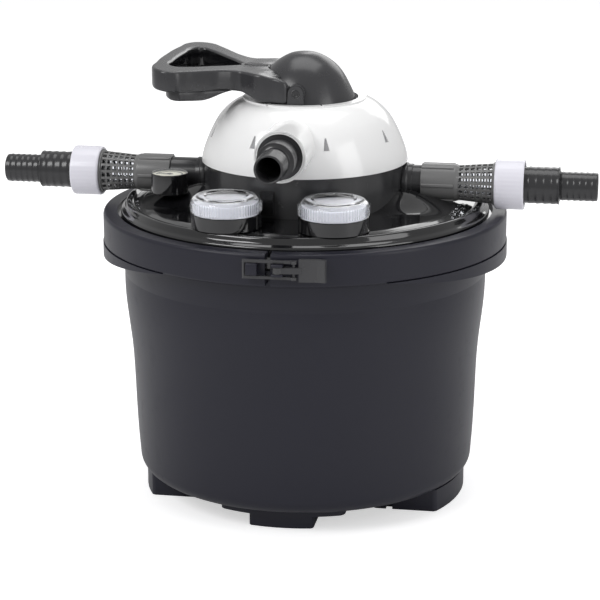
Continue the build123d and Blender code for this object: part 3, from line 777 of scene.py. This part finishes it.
def turret_screws():
    """Socket screws that cover the hinge pins on the turret's cheeks."""
    heads = []
    for sign in (-1, 1):
        outline = rounded([
            (0, 49.0, 0), (3.8, 49.0, 0), (3.8, 50.0, 0.4), (2.3, 50.0, 0.3), (1.9, 49.6, 0.2), (0, 49.6, 0),
        ])
        lay = Matrix.Translation((0, 0, hinge_z)) @ Matrix.Rotation(-sign * math.pi / 2, 4, "X")
        heads.append(turned("screw", outline, MATERIALS["dark_plastic"], lay, around=48))
    stand_for(joined("turret_screws", heads), "turret", "dark_plastic")


# ---- couplings, union nuts and hose tails ----
def barbs(radius, start, stop, count, depth):
    """Outline points of a row of hose barbs, each with a slope and a short crest."""
    points = []
    pitch = (stop - start) / count
    for i in range(count):
        z = start + pitch * i
        points += [
            (radius - depth, z + 0.1 * pitch), (radius - 0.1, z + 0.28 * pitch), (radius, z + 0.36 * pitch),
            (radius - 0.15, z + 0.5 * pitch), (radius - depth, z + 0.95 * pitch),
        ]
    return points


def tail(name, lay, body_from, nut_end, step, tip, large_r, small_r, bore, counts, body, node):
    outline = [(bore, body_from), (large_r + 3, body_from), (large_r + 3, body_from + 4)]
    outline += [(large_r - 0.4, body_from + 4)]
    outline += [(large_r - 0.4, nut_end)] + barbs(large_r, nut_end + 0.5, step - 2, counts[0], 0.45)
    outline += [(large_r, step - 1.6), (large_r + 0.2, step - 1.1), (large_r, step - 0.4)]
    outline += [(small_r + 0.6, step)]
    outline += barbs(small_r, step + 0.4, tip - 1, counts[1], 0.45)
    outline += [(small_r - 0.5, tip - 0.6), (small_r - 1.2, tip), (bore + 0.5, tip), (bore, tip - 0.6)]
    obj = turned(name, outline, MATERIALS["dark_plastic"], lay, around=96, sharp=60.0)
    return stand_for(obj, body, "dark_plastic", node)


def pipe_side(side, lay, start):
    """Everything outboard of one pipe stub."""
    grey, lay = MATERIALS["grey_plastic"], lay @ Matrix.Translation((0, 0, start))
    cage_from = coupling_len - 49.2
    sleeve = turned("sleeve", rounded([
        (15.7, 0, 0.3), (17.5, 0, 0.5), (17.5, cage_from - 3, 0.8), (16.3, cage_from, 0),
        (14.9, cage_from, 0),
        (14.9, 14.5, 0), (15.7, 14.5, 0),
    ]), grey, lay, around=96)
    ribs = bars("sleeve_ribs", 17.4, 6, 3.0, 2.4, cage_from - 4.5, cage_from / 2 - 1.8, grey, lay, 30, 0.6)
    values = {"Length": nut_from + 0.5 - cage_from, "Start Radius": 14.6, "End Radius": 17.3, "Columns": 18,
              "Rows": 6, "Hole Share": 0.66, "Wall": 1.7, "Material": grey}
    cage = grown("cage", CAGE, values, lay @ Matrix.Translation((0, 0, cage_from)))
    flange = turned("flange", rounded([
        (14.9, nut_from, 0), (19, nut_from, 0), (20.2, nut_from + 0.5, 0), (20.2, nut_from + 17, 0),
        (14.9, nut_from + 17, 0),
    ]), grey, lay, around=96)
    stand_for(joined(f"{side}_coupling_visual", [sleeve, ribs, cage, flange]), "filter", "grey_plastic",
              f"{side}_coupling")

    large_r, small_r, bore = 17.2, 13.4, 10.6
    large_barb_len = 29.7
    inner, outer = nut_from + 2.2, nut_to - 2.8
    nut = turned(f"{side}_union_nut_visual", rounded([
        (20.7, inner, 0.3), (22.4, inner, 0.5), (23.3, inner + 1.4, 0.8), (23.3, outer - 1.4, 0.8),
        (22.8, outer, 0.5), (21.2, outer, 0.4), (20.8, outer - 1.2, 0.4), (20.8, outer - 6, 0.3),
        (large_r + 0.7, outer - 6, 0), (large_r + 0.7, outer - 8, 0), (20.7, outer - 8, 0),
    ]), MATERIALS["lilac_plastic"], lay, around=288, flutes=(36, 0.07))
    stand_for(nut, f"{side}_nut", "lilac_plastic", f"{side}_union_nut")
    tail(f"{side}_hose_tail_visual", lay, tail_from, nut_to - 8, nut_to + large_barb_len, tail_tip,
         large_r, small_r, bore, (5, 6), "filter", f"{side}_hose_tail")
    collar = turned(f"{side}_stub_collar", rounded([
        (15.4, 0, 0), (17.4, 0, 0.5), (17.4, 4, 0.8), (16.3, 5, 0.5), (16.3, 9, 0.4), (15.4, 9.4, 0),
    ]), MATERIALS["dark_plastic"], lay @ Matrix.Translation((0, 0, 93.5 - start)), around=72)
    stand_for(collar, "filter", "dark_plastic")


def waste_port():
    tail_low, tail_high = span("drain_tail", Y)
    tail("drain_tail_visual", FRONT, -tail_high, -tail_high + 5, 152, -tail_low, 16.8, 13.3, 10.8, (4, 6),
         "filter", "drain_tail")
    lip = turned("port_lip", rounded([
        (20.6, 121, 0.2), (23.4, 121, 0.2), (23.4, 128.4, 0.7), (22.6, 129, 0.4), (20.9, 129, 0.4),
        (20.6, 128, 0.2),
    ]), MATERIALS["white_plastic"], FRONT, around=96)
    stand_for(lip, "filter", "white_plastic")


# ---- lamp caps and gauge ----
def lamp_cap(side):
    node = f"sight_cap_{side}"
    x, y = middle(node, X), middle(node, Y)
    low, high = span(node, Z)
    glass = MATERIALS["clear_plastic"]
    shell = turned("cap_shell", rounded([
        (0, high - 1.2, 0), (18, high - 1.2, 1.0), (20, high, 1.0), (27.5, high, 2.5), (31.6, high - 4, 1.5),
        (31.6, low + 1, 0.6), (30.6, low, 0.4), (29.4, low, 0), (29.4, high - 4.6, 1.0),
        (26.5, high - 2.4, 1.0),
        (0, high - 3.4, 0),
    ]), glass, centre=(x, y), around=120)
    grip = bars("cap_grip", 31.5, 72, 0.8, 0.7, high - low - 7, (high + low) / 2 - 1.5, glass,
                Matrix.Translation((x, y, 0)))
    stand_for(joined(f"{node}_visual", [shell, grip]), f"cap_{side}", "clear_plastic", node)
    dish = turned("dish", rounded([
        (0, low + 7.4, 0), (16, low + 8.0, 1.0), (25.8, high - 6.0, 0.8), (28.4, high - 5.6, 0.6),
        (28.6, low + 0.6, 0.4),
        (26.6, low + 0.6, 0), (26.0, low + 8.6, 1.0), (0, low + 6.0, 0),
    ]), REFLECTOR, centre=(x, y), around=96)
    teeth = bars("dish_teeth", 28.6, 48, 1.0, 0.5, high - low - 8, (high + low) / 2 - 2.6, REFLECTOR,
                 Matrix.Translation((x, y, 0)))
    stand_for(joined(f"lamp_reflector_{side}", [dish, teeth]), "filter", "lilac_plastic")


def gauge():
    """Pressure gauge with a printed arc, a red zone and a tapered needle."""
    low, high = span("gauge_housing", Z)[0], span("gauge_lens", Z)[1]
    face = span("gauge_dial", Z)[1]
    centre = (gauge_x, gauge_y)
    shell = turned("gauge_shell", rounded([
        (0, low, 0), (17.2, low, 0.9), (17.2, high, 0.6), (16.2, high, 0.3), (16.2, face - 0.6, 0),
        (0, face - 0.6, 0),
    ]), MATERIALS["black_gloss"], centre=centre, around=96)
    boss_lay = Matrix.Translation((gauge_x, 0, pipe_z)) @ Matrix.Rotation(math.pi / 2, 4, "X")
    boss = turned("gauge_boss", rounded([
        (0, gauge_y * -1 - 16.4, 0), (6.8, 22.6, 0), (6.8, 19, 0.6), (5.4, 17.6, 0.4), (5.4, 14.2, 0),
        (0, 14.2, 0),
    ]), MATERIALS["black_gloss"], boss_lay, around=48)
    stand_for(joined("gauge_housing_visual", [shell, boss]), "filter", "black_gloss", "gauge_housing")
    pane = turned("gauge_lens_visual", rounded([
        (0, face + 1.7, 0), (16.0, face + 1.7, 0), (16.0, face + 2.3, 0.2), (0, face + 2.5, 0),
    ]), PANE, centre=centre, around=96)
    stand_for(pane, "filter", "clear_plastic", "gauge_lens")
    marks = []
    for radii, arc, material in (((11.2, 12.8), (-15, 185), MATERIALS["needle_black"]),
                                 ((11.2, 13.4), (-45, -15), RED_MARK)):
        band = [(radii[0], face), (radii[1], face), (radii[1], face + 0.12), (radii[0], face + 0.12)]
        marks.append(turned("mark", band, material, centre=centre, around=48, arc=arc))
    stand_for(joined("gauge_marks", marks), "filter", "needle_black")
    needle_low, needle_high = span("gauge_needle", Z)
    hub = turned("needle_hub", rounded([
        (0, needle_low, 0), (1.8, needle_low, 0), (1.8, needle_high, 0.3), (0, needle_high, 0),
    ]), MATERIALS["needle_black"], centre=centre, around=32)
    bm = bmesh.new()
    corners = [(-10.5, 0), (-2, 0.8), (3, 0.9), (3, -0.9), (-2, -0.8)]
    rings = []
    for z in (needle_low + 0.1, needle_high - 0.2):
        rings.append([bm.verts.new(((gauge_x + x) * MM, (gauge_y + y) * MM, z * MM)) for x, y in corners])
    for ring in rings:
        bm.faces.new(ring)
    for i in range(len(corners)):
        j = (i + 1) % len(corners)
        bm.faces.new((rings[0][i], rings[0][j], rings[1][j], rings[1][i]))
    blade = finish_mesh("needle_blade", bm, MATERIALS["needle_black"])
    stand_for(joined("gauge_needle_visual", [hub, blade]), "needle", "needle_black", "gauge_needle")


def dome_notches():
    """Grey plates just under the eight narrow sunk marks round the dome, as painted shade in the recesses.
    """
    shade_plates = []
    for k in range(8):
        lay = Matrix.Rotation(math.radians(22.5 + 45 * k), 4, "Z") @ Matrix.Translation((0, -86.6, 347.5))
        lay = lay @ Matrix.Rotation(math.radians(64), 4, "X")
        bm = bmesh.new()
        sides = []
        for z in (-1.15, -0.75):
            corners = [(-2.2, -5.5), (2.2, -5.5), (0.5, 5.5), (-0.5, 5.5)]
            sides.append([bm.verts.new((lay @ Vector((x, y, z))) * MM) for x, y in corners])
        for ring in sides:
            bm.faces.new(ring)
        for i in range(4):
            j = (i + 1) % 4
            bm.faces.new((sides[0][i], sides[0][j], sides[1][j], sides[1][i]))
        # Each plate is painted shade, grey where the dome is white.
        shade_plates.append(finish_mesh("notch_painted_shade", bm, NOTCH_PAINTED_SHADE))
    stand_for(joined("dome_notch_painted_shade", shade_plates), "filter", "grey_plastic")


def valve_spring():
    """Steel coil over the valve."""
    low, high = span("return_spring", Z)
    coil_r, wire_r, turns, lift, gap = 15.0, 1.45, 4, 3.0, 0.15
    first, last = low + wire_r + gap, high - wire_r - gap
    steps, sides = turns * 32, 12
    bm = bmesh.new()
    loops = []
    for k in range(steps + 1):
        angle = 2 * math.pi * turns * k / steps
        z = first + (last - first) * k / steps
        loop = []
        for i in range(sides):
            around = 2 * math.pi * i / sides
            r = coil_r + wire_r * math.cos(around)
            place = Vector((r * math.cos(angle), r * math.sin(angle), z + wire_r * math.sin(around)))
            loop.append(bm.verts.new(place * MM))
        loops.append(loop)
    for here, there in zip(loops, loops[1:]):
        for i in range(sides):
            j = (i + 1) % sides
            bm.faces.new((here[i], here[j], there[j], there[i]))
    bm.faces.new(loops[0])
    bm.faces.new(loops[-1])
    spring = finish_mesh("return_spring_visual", bm, MATERIALS["steel"])
    stand_for(spring, "filter", "steel", "return_spring")
    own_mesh(spring)


clamp_ring()
dome_notches()
valve_spring()
lid()
lever_and_grip()
turret_screws()
pipe_side("inlet", LEFT, inlet_x)
pipe_side("outlet", RIGHT, outlet_x)
waste_port()
lamp_cap("left")
lamp_cap("right")
gauge()


# ---- stage, lights and camera ----
def stage_floor():
    mesh = bpy.data.meshes.new("floor")
    half = 6.0
    corners = [(-half, -half, 0), (half, -half, 0), (half, half, 0), (-half, half, 0)]
    mesh.from_pydata(corners, [], [(0, 1, 2, 3)])
    floor = bpy.data.objects.new("floor", mesh)
    bpy.context.collection.objects.link(floor)
    material = bpy.data.materials.new("pale_floor")
    material.use_nodes = True
    tree = material.node_tree
    shader = tree.nodes["Principled BSDF"]
    shader.inputs["Base Color"].default_value = (0.85, 0.85, 0.86, 1)
    shader.inputs["Roughness"].default_value = 0.6
    shader.inputs["Emission Color"].default_value = (1, 1, 1, 1)
    path = add(tree, "ShaderNodeLightPath")
    seen = math_node(tree, "MAXIMUM", path.outputs["Is Camera Ray"], path.outputs["Is Transmission Ray"])
    tree.links.new(math_node(tree, "MULTIPLY", seen, 0.55), shader.inputs["Emission Strength"])
    mesh.materials.append(material)


def world_light():
    world = bpy.data.worlds.new("studio")
    bpy.context.scene.world = world
    world.use_nodes = True
    tree = world.node_tree
    background = tree.nodes["Background"]
    path = add(tree, "ShaderNodeLightPath")
    seen = math_node(tree, "MAXIMUM", path.outputs["Is Camera Ray"], path.outputs["Is Transmission Ray"])
    strength = ranged(tree, 0.0, 1.0, 0.5, 1.0)
    tree.links.new(seen, strength.inputs["Value"])
    background.inputs["Color"].default_value = (1, 1, 1, 1)
    tree.links.new(strength.outputs["Result"], background.inputs["Strength"])


def soft_light(name, place, aim, size, power):
    light = bpy.data.lights.new(name, "AREA")
    light.shape = "RECTANGLE"
    light.size, light.size_y = size
    light.energy = power
    lamp = bpy.data.objects.new(name, light)
    bpy.context.collection.objects.link(lamp)
    lamp.location = place
    lamp.rotation_euler = (Vector(aim) - Vector(place)).to_track_quat("-Z", "Y").to_euler()


def studio():
    stage_floor()
    world_light()
    aim = (0, 0, 0.25)
    soft_light("key_light", (-1.3, -1.5, 1.8), aim, (1.2, 0.9), 23)
    soft_light("fill_light", (1.8, -0.9, 0.9), aim, (0.9, 1.4), 9)
    soft_light("top_light", (0.0, 0.3, 1.9), aim, (1.4, 1.0), 10)
    soft_light("back_light", (0.4, 2.0, 1.2), aim, (1.6, 1.0), 8)


def camera():
    azimuth, elevation, level = math.radians(10.0), math.radians(15.56), math.radians(-0.19)
    distance, lens, sensor = 2.0, 125.5, 36.0
    back = Vector((math.sin(azimuth) * math.cos(elevation), -math.cos(azimuth) * math.cos(elevation),
                   math.sin(elevation)))
    data = bpy.data.cameras.new("camera")
    data.lens, data.sensor_width = lens, sensor
    cam = bpy.data.objects.new("camera", data)
    bpy.context.collection.objects.link(cam)
    cam.rotation_euler = (math.pi / 2 - elevation, 0, azimuth)
    cam.rotation_euler.rotate_axis("Z", level)
    cam.location = Vector((-0.00465, -0.00278, 0.18006)) + back * distance
    bpy.context.scene.camera = cam
    bpy.context.scene.view_settings.view_transform = "Standard"


studio()
camera()
